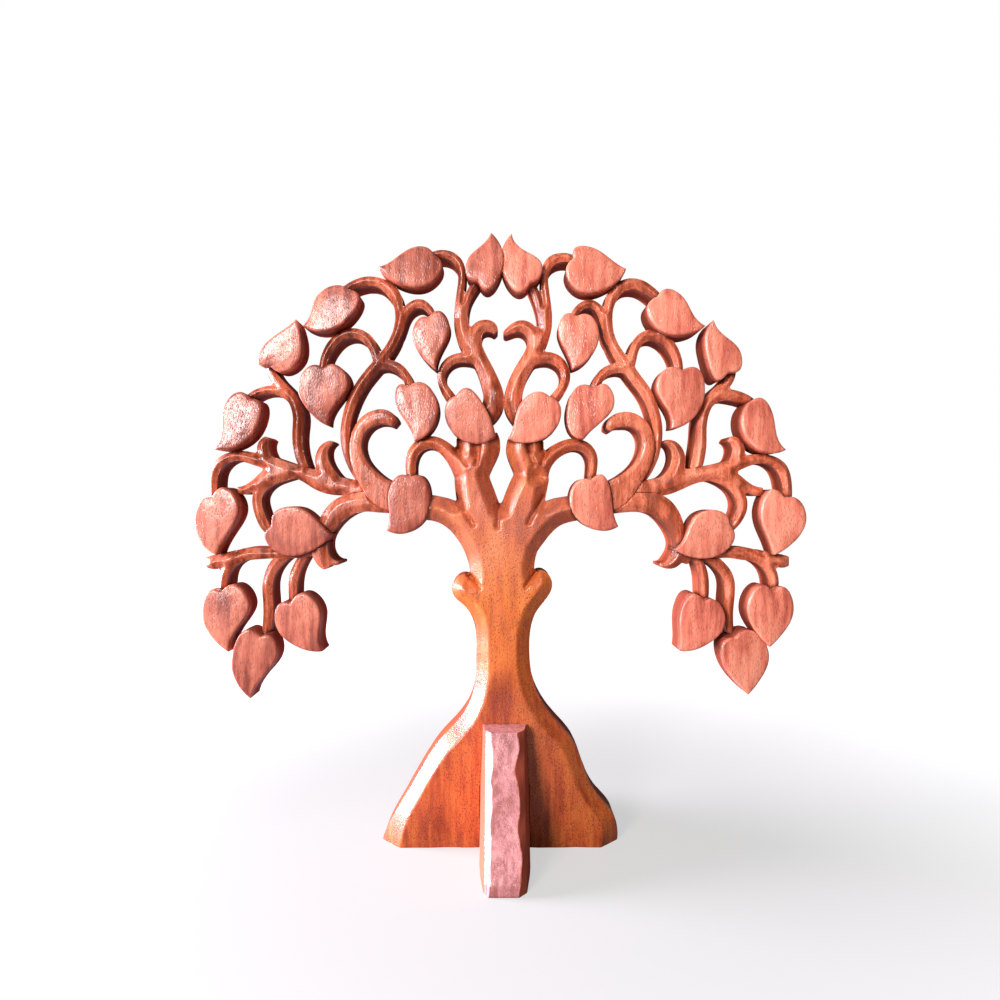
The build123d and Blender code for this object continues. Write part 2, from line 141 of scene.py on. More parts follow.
@dataclass(frozen=True)
class WoodFinish:
    """Varnished carved hardwood: open pores, streaks of colour, flanks darker with stain and painted shade,
    painted shade in crevices.

    Attributes:
        name: Name of the material.
        light: Palest colour of the face.
        middle: Most usual colour of the face.
        deep: Darkest colour of the face.
        pore: Colour of an open pore.
        flank: Colour of the stain and painted shade on the sawn flanks.
        crevice: Colour of the painted shade where two levels meet.
        roughness: Roughness of the wood.
        varnish: Weight of the varnish on the face; the flanks have none.
        varnish_roughness: Roughness of the varnish.
        pore_width: Spacing of the pores across the grain, in mm.
        pore_length: Spacing of the pores along the grain, in mm.
        pore_reach: Size of a pore as a share of that spacing.
        pore_strength: How dark the pores are.
        streak: Width of a streak of colour, in mm.
        streak_share: Share of the streaks in the colour; broad clouds have the rest.
        cloud: Width and height of a cloud of colour, in mm.
        fibre: Width and length of a raised fibre, in mm.
        relief: Height of the fibres, in mm.
        relief_strength: How plainly the fibres and pores are felt.
        flank_share: How strongly the flanks are darkened by stain and painted shade.
        flank_dulling: How much rougher the sawn flanks are.
        bands: Heights in mm and colours up the tree, if the colour changes with height.
        band_share: How strongly those colours show.
    """

    name: str
    light: str
    middle: str
    deep: str
    pore: str
    flank: str
    crevice: str
    roughness: float = 0.45
    varnish: float = 0.8
    varnish_roughness: float = 0.24
    pore_width: float = 0.65
    pore_length: float = 2.2
    pore_reach: float = 0.3
    pore_strength: float = 0.5
    streak: float = 3.2
    streak_share: float = 0.55
    cloud: tuple[float, float] = (17.0, 30.0)
    fibre: tuple[float, float] = (0.45, 2.6)
    relief: float = 0.1
    relief_strength: float = 0.65
    flank_share: float = 0.85
    flank_dulling: float = 0.35
    bands: tuple[tuple[float, str], ...] = ()
    band_share: float = 0.55

    def grain_point(self, tree: Any, across: float, along: float, seed: float = 0.0) -> Any:
        """Scale object coordinates to one grain pattern.

        Args:
            tree: The node tree.
            across: Size of the pattern across the grain, in mm.
            along: Size of the pattern up the plank, in mm.
            seed: Shift that sets one pattern apart from the others.

        Returns:
            The node with the point to look up.
        """
        place = add_node(tree, "ShaderNodeTexCoord").outputs["Object"]
        scale = (1 / (across * MM), 1 / (across * MM), 1 / (along * MM))
        return add_node(tree, "ShaderNodeMapping", {
            "Vector": place, "Location": (seed, seed, seed), "Scale": scale})

    def banded(self, tree: Any, ramp: Any) -> Any:
        """Lay the change of colour with height up the tree over the grain, where there is one.

        Args:
            tree: The node tree.
            ramp: The node with the grain's colour.

        Returns:
            The socket with the colour of the bare wood.
        """
        if not self.bands:
            return ramp.outputs[0]
        place = add_node(tree, "ShaderNodeTexCoord").outputs["Object"]
        warp = add_node(tree, NOISE, {
            "Vector": self.grain_point(tree, 8, 26, 12.0), "Scale": 1.0, "Detail": 3.0})
        height = add_node(tree, "ShaderNodeSeparateXYZ", (place,)).outputs["Z"]
        # the bands wander by up to 30 mm
        height = add_node(tree, MATH, (warp, 30 * MM, height), operation="MULTIPLY_ADD")
        top = self.bands[-1][0]
        share = add_node(tree, MATH, (height, 1 / (top * MM)), operation="MULTIPLY")
        tones = add_node(tree, "ShaderNodeValToRGB", (share,))
        first, last = tones.color_ramp.elements
        first.position, first.color = self.bands[0][0] / top, srgb(self.bands[0][1])
        last.position, last.color = 1.0, srgb(self.bands[-1][1])
        for stop, code in self.bands[1:-1]:
            tones.color_ramp.elements.new(stop / top).color = srgb(code)
        mixed = add_node(tree, MIX, {0: self.band_share, 6: ramp, 7: tones}, data_type="RGBA")
        return mixed.outputs[2]

    def bare_wood(self, tree: Any, clouds: Any) -> Any:
        """Colour the bare wood by long streaks up the plank and broad clouds.

        Args:
            tree: The node tree.
            clouds: The node with the broad clouds.

        Returns:
            The socket with the colour.
        """
        streaks = add_node(tree, NOISE, {
            "Vector": self.grain_point(tree, self.streak, self.streak * 9), "Scale": 1.0, "Detail": 4.0,
            "Roughness": 0.6})
        blend = add_node(tree, MATH, (streaks, self.streak_share), operation="MULTIPLY")
        blend = add_node(tree, MATH, (clouds, 1.0 - self.streak_share, blend), operation="MULTIPLY_ADD")
        ramp = add_node(tree, "ShaderNodeValToRGB", (blend,))
        darkest, palest = ramp.color_ramp.elements
        darkest.position, darkest.color = 0.41, srgb(self.deep)
        palest.position, palest.color = 0.59, srgb(self.light)
        ramp.color_ramp.elements.new(0.49).color = srgb(self.middle)
        return self.banded(tree, ramp)

    def pore_mask(self, tree: Any) -> Any:
        """Mark the open pores: short dashes along the grain that come in patches.

        Real pores are about 0.2 mm wide. These are twice as wide, so that they show.

        Args:
            tree: The node tree.

        Returns:
            The node that is one in a pore.
        """
        pores = add_node(tree, "ShaderNodeTexVoronoi", {
            "Vector": self.grain_point(tree, self.pore_width, self.pore_length, 9.0), "Scale": 1.0})
        mask = add_node(tree, MAP_RANGE, (
            pores.outputs["Distance"], self.pore_reach * 0.6, self.pore_reach * 1.5, 1.0, 0.0))
        patches = add_node(tree, NOISE, {
            "Vector": self.grain_point(tree, 5, 9, 2.0), "Scale": 1.0, "Detail": 2.0})
        patch = add_node(tree, MAP_RANGE, (patches, 0.36, 0.58, 0.45, 1.0))
        return add_node(tree, MATH, (mask, patch), operation="MULTIPLY")

    def material(self) -> bpy.types.Material:
        """Build the material.

        Returns:
            The finished node material.
        """
        made = bpy.data.materials.new(self.name)
        made.use_nodes = True
        tree = made.node_tree
        tree.nodes.clear()
        clouds = add_node(tree, NOISE, {
            "Vector": self.grain_point(tree, *self.cloud, 4.0), "Scale": 1.0, "Detail": 3.0,
            "Roughness": 0.55})
        pores = self.pore_mask(tree)
        shown = add_node(tree, MATH, (pores, self.pore_strength), operation="MULTIPLY")
        face = add_node(tree, MIX, {
            0: shown, 6: self.bare_wood(tree, clouds), 7: srgb(self.pore)}, data_type="RGBA")
        # stain and painted shade darken the sawn flanks; painted shade darkens the crevices
        depth = add_node(tree, "ShaderNodeAttribute", attribute_name="flank").outputs["Fac"]
        side = add_node(tree, MATH, (depth, self.flank_share), operation="MULTIPLY")
        stained_and_shaded = add_node(tree, MIX, {
            0: side, 6: face.outputs[2], 7: srgb(self.flank)}, data_type="RGBA")
        # painted shade in the crevices
        gap = add_node(tree, "ShaderNodeAttribute", attribute_name="crevice").outputs["Fac"]
        stained_and_shaded = add_node(tree, MIX, {
            0: gap, 6: stained_and_shaded.outputs[2], 7: srgb(self.crevice)}, data_type="RGBA")
        # the varnish sinks into the pores and lies thicker between them
        fibres = add_node(tree, NOISE, {
            "Vector": self.grain_point(tree, *self.fibre, 7.0), "Scale": 1.0, "Detail": 2.0})
        height = add_node(tree, MATH, (pores, -1.0, fibres), operation="MULTIPLY_ADD")
        bump = add_node(tree, "ShaderNodeBump", {
            "Strength": self.relief_strength, "Distance": self.relief * MM, "Height": height})
        dull = add_node(tree, MAP_RANGE, (
            clouds, 0.3, 0.7, self.roughness - 0.07, self.roughness + 0.09))
        dull = add_node(tree, MATH, (depth, self.flank_dulling, dull), operation="MULTIPLY_ADD")
        coat = add_node(tree, MAP_RANGE, (depth, 0.0, 1.0, self.varnish, 0.0))
        shader = add_node(tree, "ShaderNodeBsdfPrincipled", {
            "Base Color": stained_and_shaded.outputs[2], "Roughness": dull, "IOR": 1.4, "Metallic": 0.0,
            "Normal": bump, "Coat Weight": coat, "Coat Roughness": self.varnish_roughness,
            "Coat IOR": 1.5, "Coat Normal": bump})
        add_node(tree, "ShaderNodeOutputMaterial", (shader,))
        return made


# Seasoned hardwood, knife carved and varnished: red-brown faces that turn pale where the varnish
# catches the light, with open pores showing as short dark dashes. The left side of the plank is
# redder, the right side warmer. The two are one wood in lit and shaded copies: the right one is
# paler as painted light, the left one darker as painted shade.
LEFT_LEAF_WOOD = WoodFinish(
    "carved_hardwood_leaf_left_painted_shade", light="d67a60", middle="b55a44", deep="8c3c2a", pore="5a1c12",
    flank="963820", crevice="3c0e07")
RIGHT_LEAF_WOOD = WoodFinish(
    "carved_hardwood_leaf_right_painted_light", light="f69a7e", middle="e47c62", deep="c05c4a", pore="6a2214",
    flank="963a20", crevice="3c0e07")
# The same plank where the knife rounded it: deeper orange-brown, darker on the sawn flanks with
# stain and painted shade. The right side's copy is paler as painted light, the left's darker as painted
# shade.
LEFT_BRANCH_WOOD = WoodFinish(
    "carved_hardwood_branch_left_painted_shade", light="dc7856", middle="b05030", deep="7a3018", pore="3c0f06",
    flank="963618", crevice="300804", pore_strength=0.6)
RIGHT_BRANCH_WOOD = WoodFinish(
    "carved_hardwood_branch_right_painted_light", light="f68c68", middle="d06642", deep="9c4628", pore="3c0f06",
    flank="a44222", crevice="3a0c06", pore_strength=0.6)
TRUNK_WOOD = WoodFinish(
    "carved_hardwood_trunk", light="ee8436", middle="cc5e26", deep="903510", pore="3c0f05",
    flank="8c3410", crevice="300804", pore_width=0.62, pore_length=1.25, pore_strength=0.8,
    bands=((10, "963a12"), (45, "b44c20"), (85, "a8482e"), (105, "dc6c24"), (138, "e4762c"),
           (165, "d8785a"), (225, "cc684c")))
# The foot is cut across its corners with a knife and keeps a close-grained face; its pinkish-mauve
# colour is the wood's own tone with a painted sheen of the varnish laid in. Its cheeks and the right
# of its nose are redder with stain and painted shade.
FOOT_WOOD = WoodFinish(
    "knife_cut_hardwood_foot", light="e09a98", middle="c88284", deep="a86460", pore="6c3028",
    flank="b84c24", crevice="47100a", pore_width=0.7, pore_length=1.1, streak=2.2)


@dataclass(frozen=True)
class CarveStyle:
    """How one kind of piece is cut, in millimetres.

    Attributes:
        rounding: Radius of the rounded rim.
        slope_reach: How far in from the edge the sloping cut runs.
        slope: Fall of the sloping cut, per mm.
        base_reach: The same reach at the floor, for the flared base.
        facet_size: Width of one knife cut.
        facet_depth: Height of one knife cut's tilt.
        wander: Unevenness of the hand work.
        stain_and_shade_start: Depth below the front at which the dark stain and painted shade of the flanks
            begin.
        voxel: Spacing of the mesh.
    """

    rounding: float
    slope_reach: float
    slope: float
    base_reach: float = 0.0
    facet_size: float = 7.0
    facet_depth: float = 0.1
    wander: float = 0.12
    stain_and_shade_start: float = 3.0
    voxel: float = 0.7


LEAF_CUT = CarveStyle(rounding=1.5, slope_reach=5.0, slope=0.07, facet_size=8, facet_depth=0.15,
                      stain_and_shade_start=1.6, voxel=0.62)
STEM_CUT = CarveStyle(rounding=1.2, slope_reach=3.4, slope=0.85, facet_size=5, facet_depth=0.3)
BOUGH_CUT = CarveStyle(rounding=1.6, slope_reach=3.4, slope=0.6, facet_size=9, facet_depth=0.25)
SCROLL_CUT = CarveStyle(rounding=1.3, slope_reach=1.8, slope=0.5, facet_size=9, facet_depth=0.2)
TRUNK_CUT = CarveStyle(rounding=2.5, slope_reach=6.5, slope=1.0, base_reach=9.5, facet_size=12,
                       facet_depth=0.45, stain_and_shade_start=7.0, voxel=0.74)


class NodeTool:
    """A Geometry Nodes tree with named inputs that are set by their identifiers."""

    def __init__(self, name: str, floats: dict[str, float], objects: Sequence[str],
                 vectors: Sequence[str] = ()) -> None:
        """Make the tree with its sockets.

        Args:
            name: Name of the tree.
            floats: Number inputs and their defaults.
            objects: Names of the object inputs.
            vectors: Names of the vector inputs.
        """
        self.tree = bpy.data.node_groups.new(name, "GeometryNodeTree")
        self.ids: dict[str, str] = {}
        self._socket("Geometry", "NodeSocketGeometry")
        for label, default in floats.items():
            self._socket(label, "NodeSocketFloat").default_value = default
        for label in objects:
            self._socket(label, "NodeSocketObject")
        for label in vectors:
            self._socket(label, "NodeSocketVector")
        self._socket("Material", "NodeSocketMaterial")
        self.tree.interface.new_socket("Geometry", in_out="OUTPUT", socket_type="NodeSocketGeometry")
        self.given = add_node(self.tree, "NodeGroupInput").outputs

    def _socket(self, label: str, kind: str) -> Any:
        """Add one input socket and keep its identifier."""
        socket = self.tree.interface.new_socket(label, in_out="INPUT", socket_type=kind)
        self.ids[label] = socket.identifier
        return socket

    def close(self, geometry: Any) -> None:
        """End the tree: real geometry with its material set."""
        real = add_node(self.tree, "GeometryNodeRealizeInstances", (geometry,))
        dressed = add_node(self.tree, "GeometryNodeSetMaterial", {
            "Geometry": real, "Material": self.given["Material"]})
        add_node(self.tree, "NodeGroupOutput", (dressed,))

    def fit(self, piece: bpy.types.Object, values: dict[str, Any]) -> None:
        """Put the tree on a piece as a modifier and set its inputs.

        Args:
            piece: The object to change.
            values: Input values by name.
        """
        modifier = piece.modifiers.new("carving", "NODES")
        modifier.node_group = self.tree
        for label, value in values.items():
            modifier[self.ids[label]] = value


class ReliefCarver(NodeTool):
    """Rounds and facets the front of a piece by its distance from its own edges.

    Every input is a length in metres, apart from Slope, Seed and Tilt.
    """

    def __init__(self) -> None:
        """Build the tree."""
        super().__init__("relief_carver", {
            "Front": -12 * MM, "Back": 12 * MM, "Rounding": 1.5 * MM, "Slope reach": 3 * MM,
            "Base reach": 0.0, "Base top": 48 * MM, "Slope": 0.5, "Back rounding": 0.9 * MM,
            "Stain and shade start": 2 * MM, "Stain and shade reach": 6 * MM,
            "Facet size": 8 * MM, "Facet depth": 0.1 * MM, "Groove width": 1.6 * MM,
            "Groove depth": 3.4 * MM, "Hollow width": 2.6 * MM, "Hollow depth": 4.5 * MM,
            "Wander": 0.1 * MM, "Seed": 0.0, "Crevice width": 2.0 * MM},
            ("Edges", "Grooves", "Hollows", "Neighbours"), ("Tilt", "Middle"))
        marked = self._mark(self._wander(self._carve()))
        self.close(add_node(self.tree, "GeometryNodeSetShadeSmooth", {"Geometry": marked}))

    def _carve(self) -> Any:
        """Move every point of the front and of the back's edge to its carved depth."""
        tree, given = self.tree, self.given
        place = add_node(tree, "GeometryNodeInputPosition")
        axes = add_node(tree, "ShaderNodeSeparateXYZ", (place,)).outputs
        inward = self._distance("Edges", "FACES")
        front = self._front(place, axes["Z"], inward)
        back = add_node(tree, MATH, (
            given["Back"], self._round_over(inward, given["Back rounding"])), operation="SUBTRACT")
        skin = add_node(tree, MATH, (given["Front"], FRONT_SKIN), operation="ADD")
        on_face = add_node(tree, MATH, (axes["Y"], skin), operation="LESS_THAN")
        held = add_node(tree, MATH, (axes["Y"], front), operation="MAXIMUM")
        rise = add_node(tree, MATH, (front, held), operation="SUBTRACT")
        lifted = add_node(tree, MATH, (on_face, rise, held), operation="MULTIPLY_ADD")
        depth = add_node(tree, MATH, (lifted, back), operation="MINIMUM")
        moved = add_node(tree, "ShaderNodeCombineXYZ", (axes["X"], depth, axes["Z"]))
        carved = add_node(tree, "GeometryNodeSetPosition", {"Geometry": given["Geometry"], "Position": moved})
        return add_node(tree, "GeometryNodeMergeByDistance", {"Geometry": carved, "Distance": WELD})

    def _front(self, place: Any, height: Any, inward: Any) -> Any:
        """Depth of the carved front at every point.

        Args:
            place: The point.
            height: Its height.
            inward: Its distance from the piece's edges.

        Returns:
            The node with the depth.
        """
        tree, given = self.tree, self.given
        fall = add_node(tree, MATH, (
            self._round_over(inward, given["Rounding"]), self._slope(inward, height)),
            operation="MAXIMUM")
        front = add_node(tree, MATH, (given["Front"], fall), operation="ADD")
        for lines, width, depth in (("Grooves", "Groove width", "Groove depth"),
                                    ("Hollows", "Hollow width", "Hollow depth")):
            cut = add_node(tree, MATH, (
                self._closeness(self._distance(lines, "EDGES"), given[width]), given[depth]),
                operation="MULTIPLY")
            front = add_node(tree, MATH, (front, cut), operation="ADD")
        front = add_node(tree, MATH, (front, self._facet(place)), operation="ADD")
        off_middle = add_node(tree, VECTOR_MATH, (place, given["Middle"]), operation="SUBTRACT")
        lean = add_node(tree, VECTOR_MATH, (off_middle, given["Tilt"]), operation="DOT_PRODUCT")
        return add_node(tree, MATH, (front, lean.outputs["Value"]), operation="ADD")

    def _distance(self, label: str, element: str) -> Any:
        """Distance to an input object.

        Args:
            label: The object input.
            element: Whether its faces or its edges count.

        Returns:
            The node with the distance, one metre where nothing is given.
        """
        target = add_node(self.tree, "GeometryNodeObjectInfo", {"Object": self.given[label]})
        near = add_node(self.tree, "GeometryNodeProximity", {0: target.outputs["Geometry"]},
                        target_element=element)
        return add_node(self.tree, "GeometryNodeSwitch", {
            "Switch": near.outputs["Is Valid"], "False": 1.0, "True": near.outputs["Distance"]},
            input_type="FLOAT")

    def _closeness(self, away: Any, width: Any) -> Any:
        """Turn a distance into a share: one where it is nothing, down to nought at the width."""
        share = add_node(self.tree, MATH, (away, width), operation="DIVIDE", use_clamp=True)
        return add_node(self.tree, MATH, (1.0, share), operation="SUBTRACT")

    def _round_over(self, inward: Any, radius: Any) -> Any:
        """Quarter-round fall down to the edge.

        Args:
            inward: Distance from the edge.
            radius: Radius of the rounding.

        Returns:
            The node with the fall.
        """
        share = self._closeness(inward, radius)
        squared = add_node(self.tree, MATH, (share, share), operation="MULTIPLY")
        left = add_node(self.tree, MATH, (1.0, squared), operation="SUBTRACT")
        arc = add_node(self.tree, MATH, (left,), operation="SQRT")
        fall = add_node(self.tree, MATH, (1.0, arc), operation="SUBTRACT")
        return add_node(self.tree, MATH, (radius, fall), operation="MULTIPLY")

    def _slope(self, inward: Any, height: Any) -> Any:
        """Sloping knife cut, wider towards the floor where the base flares.

        Args:
            inward: Distance from the edge.
            height: Height above the floor.

        Returns:
            The node with the fall.
        """
        tree, given = self.tree, self.given
        low = add_node(tree, MAP_RANGE, (height, 0.0, given["Base top"], given["Base reach"], 0.0))
        reach = add_node(tree, MATH, (given["Slope reach"], low), operation="MAXIMUM")
        left = add_node(tree, MATH, (reach, inward), operation="SUBTRACT")
        left = add_node(tree, MATH, (0.0, left), operation="MAXIMUM")
        return add_node(tree, MATH, (left, given["Slope"]), operation="MULTIPLY")

    def _facet(self, place: Any) -> Any:
        """Shallow hollows left by the knife, longer along the grain."""
        tree, given = self.tree, self.given
        along = add_node(tree, MATH, (given["Facet size"], 1.6), operation="MULTIPLY")
        size = add_node(tree, "ShaderNodeCombineXYZ", (given["Facet size"], given["Facet size"], along))
        point = add_node(tree, VECTOR_MATH, (place, size), operation="DIVIDE")
        point = add_node(tree, VECTOR_MATH, (point, given["Seed"]), operation="ADD")
        cells = add_node(tree, "ShaderNodeTexVoronoi", {"Vector": point, "Scale": 1.0, "Smoothness": 0.6},
                         feature="SMOOTH_F1")
        hollow = add_node(tree, MATH, (0.5, cells.outputs["Distance"]), operation="SUBTRACT")
        twice = add_node(tree, MATH, (given["Facet depth"], 2.0), operation="MULTIPLY")
        return add_node(tree, MATH, (hollow, twice), operation="MULTIPLY")

    def _wander(self, carved: Any) -> Any:
        """Slight unevenness of hand work, over every face."""
        tree, given = self.tree, self.given
        noise = add_node(tree, NOISE, {
            "Vector": add_node(tree, "GeometryNodeInputPosition"), "Scale": 140.0, "Detail": 1.0})
        push = add_node(tree, MATH, (noise, 0.5), operation="SUBTRACT")
        twice = add_node(tree, MATH, (given["Wander"], 2.0), operation="MULTIPLY")
        push = add_node(tree, MATH, (push, twice), operation="MULTIPLY")
        shift = add_node(tree, VECTOR_MATH, {
            0: add_node(tree, "GeometryNodeInputNormal"), "Scale": push}, operation="SCALE")
        return add_node(tree, "GeometryNodeSetPosition", {"Geometry": carved, "Offset": shift})

    def _mark(self, carved: Any) -> Any:
        """Store how far each point takes a flank's stain and painted shade, and a crevice's painted shade."""
        tree, given = self.tree, self.given
        marked = add_node(tree, STORE, {
            "Geometry": carved, "Name": "flank", "Value": self._stain_and_shade()}, data_type="FLOAT")
        # painted shade in the crevices: near the leaves, along the grooves and in the hollows
        near = self._closeness(self._distance("Neighbours", "FACES"), given["Crevice width"])
        for lines, width in (("Grooves", "Groove width"), ("Hollows", "Hollow width")):
            inside = self._closeness(self._distance(lines, "EDGES"), given[width])
            near = add_node(tree, MATH, (near, inside), operation="MAXIMUM")
        shade = add_node(tree, MATH, (near, 0.85), operation="MULTIPLY")
        return add_node(tree, STORE, {
            "Geometry": marked, "Name": "crevice", "Value": shade}, data_type="FLOAT")

    def _stain_and_shade(self) -> Any:
        """Share of stain and painted shade: none on the front, full on the sawn flanks, a third on the planed
        back.
        """
        tree, given = self.tree, self.given
        place = add_node(tree, "GeometryNodeInputPosition")
        depth = add_node(tree, "ShaderNodeSeparateXYZ", (place,)).outputs["Y"]
        start = add_node(tree, MATH, (given["Front"], given["Stain and shade start"]), operation="ADD")
        inside = add_node(tree, MATH, (depth, start), operation="SUBTRACT")
        stained_and_shaded = add_node(tree, MATH, (inside, given["Stain and shade reach"]), operation="DIVIDE", use_clamp=True)
        normal = add_node(tree, "GeometryNodeInputNormal")
        facing = add_node(tree, "ShaderNodeSeparateXYZ", (normal,)).outputs["Y"]
        planed = add_node(tree, MAP_RANGE, (facing, 0.6, 0.95, 1.0, 0.33))
        return add_node(tree, MATH, (stained_and_shaded, planed), operation="MULTIPLY")


class FootCarver(NodeTool):
    """Pares the long corners of the foot into wavy knife-cut facets.

    Every input is a length in metres, apart from Seed.
    """

    def __init__(self) -> None:
        """Build the tree."""
        super().__init__("foot_carver", {
            "Centre": 2.3 * MM, "Half width": 12 * MM, "Nose inset": 5.4 * MM, "Nose reach": 4 * MM,
            "Cheek inset": 2.8 * MM, "Cheek reach": 24 * MM, "Wave depth": 3.2 * MM,
            "Wave length": 13 * MM, "Seed": 0.0}, ("Ends",))
        tree, given = self.tree, self.given
        place = add_node(tree, "GeometryNodeInputPosition")
        axes = add_node(tree, "ShaderNodeSeparateXYZ", (place,)).outputs
        target = add_node(tree, "GeometryNodeObjectInfo", {"Object": given["Ends"]})
        inward = add_node(tree, "GeometryNodeProximity", {0: target.outputs["Geometry"]}).outputs["Distance"]
        aside = add_node(tree, MATH, (axes["X"], given["Centre"]), operation="SUBTRACT")
        side = add_node(tree, MATH, (aside,), operation="SIGN")
        out = add_node(tree, MATH, (aside,), operation="ABSOLUTE")
        cut = self._cut(inward, self._wave(axes["Z"], side))
        half = add_node(tree, MATH, (given["Half width"], cut), operation="SUBTRACT")
        kept = add_node(tree, MATH, (out, half), operation="MINIMUM")
        kept = add_node(tree, MATH, (side, kept, given["Centre"]), operation="MULTIPLY_ADD")
        moved = add_node(tree, "ShaderNodeCombineXYZ", (kept, axes["Y"], axes["Z"]))
        # stain and painted shade on the pared cheeks and the shaded right of the nose
        shade = self._stain_and_shade(inward, side, add_node(tree, MATH, (out, half), operation="SUBTRACT"))
        marked = add_node(tree, STORE, {
            "Geometry": given["Geometry"], "Name": "flank", "Value": shade}, data_type="FLOAT")
        carved = add_node(tree, "GeometryNodeSetPosition", {"Geometry": marked, "Position": moved})
        carved = add_node(tree, "GeometryNodeMergeByDistance", {"Geometry": carved, "Distance": WELD})
        self.close(add_node(tree, "GeometryNodeSetShadeSmooth", {"Geometry": carved}))

    def _wave(self, height: Any, side: Any) -> Any:
        """Uneven scallops up each corner.

        Args:
            height: Height above the floor.
            side: One on the right, minus one on the left, so that the two differ.

        Returns:
            The node with the depth of the scallop.
        """
        tree, given = self.tree, self.given
        lane = add_node(tree, MATH, (side, 3.7, given["Seed"]), operation="MULTIPLY_ADD")
        up = add_node(tree, MATH, (height, given["Wave length"]), operation="DIVIDE")
        point = add_node(tree, "ShaderNodeCombineXYZ", (lane, 0.0, up))
        noise = add_node(tree, NOISE, {"Vector": point, "Scale": 1.0, "Detail": 1.0})
        swing = add_node(tree, MATH, (noise, 0.5), operation="SUBTRACT")
        twice = add_node(tree, MATH, (given["Wave depth"], 2.0), operation="MULTIPLY")
        return add_node(tree, MATH, (swing, twice), operation="MULTIPLY")

    def _cut(self, inward: Any, wave: Any) -> Any:
        """How much is pared off a cheek: a steep cut at the nose, then a long shallow one.

        Args:
            inward: Distance from the end faces.
            wave: The scallops of the nose.

        Returns:
            The node with the depth of the cut.
        """
        tree, given = self.tree, self.given
        nose = add_node(tree, MATH, (given["Nose inset"], wave), operation="ADD")
        fall = add_node(tree, MATH, (inward, given["Nose reach"]), operation="DIVIDE")
        drop_off = add_node(tree, MATH, (given["Cheek inset"], nose), operation="SUBTRACT")
        steep = add_node(tree, MATH, (drop_off, fall, nose), operation="MULTIPLY_ADD")
        along = add_node(tree, MATH, (inward, given["Cheek reach"]), operation="DIVIDE")
        left = add_node(tree, MATH, (1.0, along), operation="SUBTRACT")
        shallow = add_node(tree, MATH, (given["Cheek inset"], left), operation="MULTIPLY")
        deeper = add_node(tree, MATH, (steep, shallow), operation="MAXIMUM")
        return add_node(tree, MATH, (0.0, deeper), operation="MAXIMUM")

    def _stain_and_shade(self, inward: Any, side: Any, past: Any) -> Any:
        """Share of stain and painted shade: on both cheeks and on the shaded right of the nose, where the
        corner is pared.

        Args:
            inward: Distance from the end faces.
            side: One on the right, minus one on the left.
            past: How far the point was outside the pared surface.

        Returns:
            The node with the share.
        """
        tree, given = self.tree, self.given
        pared = add_node(tree, MATH, (past, 1 / (0.4 * MM), 1.0), operation="MULTIPLY_ADD", use_clamp=True)
        behind = add_node(tree, MATH, (inward, given["Nose reach"]), operation="GREATER_THAN")
        where = add_node(tree, MATH, (side, behind), operation="MAXIMUM")
        return add_node(tree, MATH, (pared, where), operation="MULTIPLY")


def stand(name: str, mesh: bpy.types.Mesh) -> bpy.types.Object:
    """Put a mesh into the scene as an object at the origin."""
    made = bpy.data.objects.new(name, mesh)
    bpy.context.scene.collection.objects.link(made)
    return made


def faces_object(name: str, faces: Iterable[bmesh.types.BMFace]) -> bpy.types.Object:
    """Make a helper object from copies of some faces.

    Args:
        name: Name of the helper.
        faces: The faces to copy.

    Returns:
        The helper object.
    """
    verts: list[Vector] = []
    corners: list[tuple[int, ...]] = []
    for face in faces:
        start = len(verts)
        verts.extend(v.co.copy() for v in face.verts)
        corners.append(tuple(range(start, start + len(face.verts))))
    mesh = bpy.data.meshes.new(name)
    mesh.from_pydata(verts, [], corners)
    return stand(name, mesh)


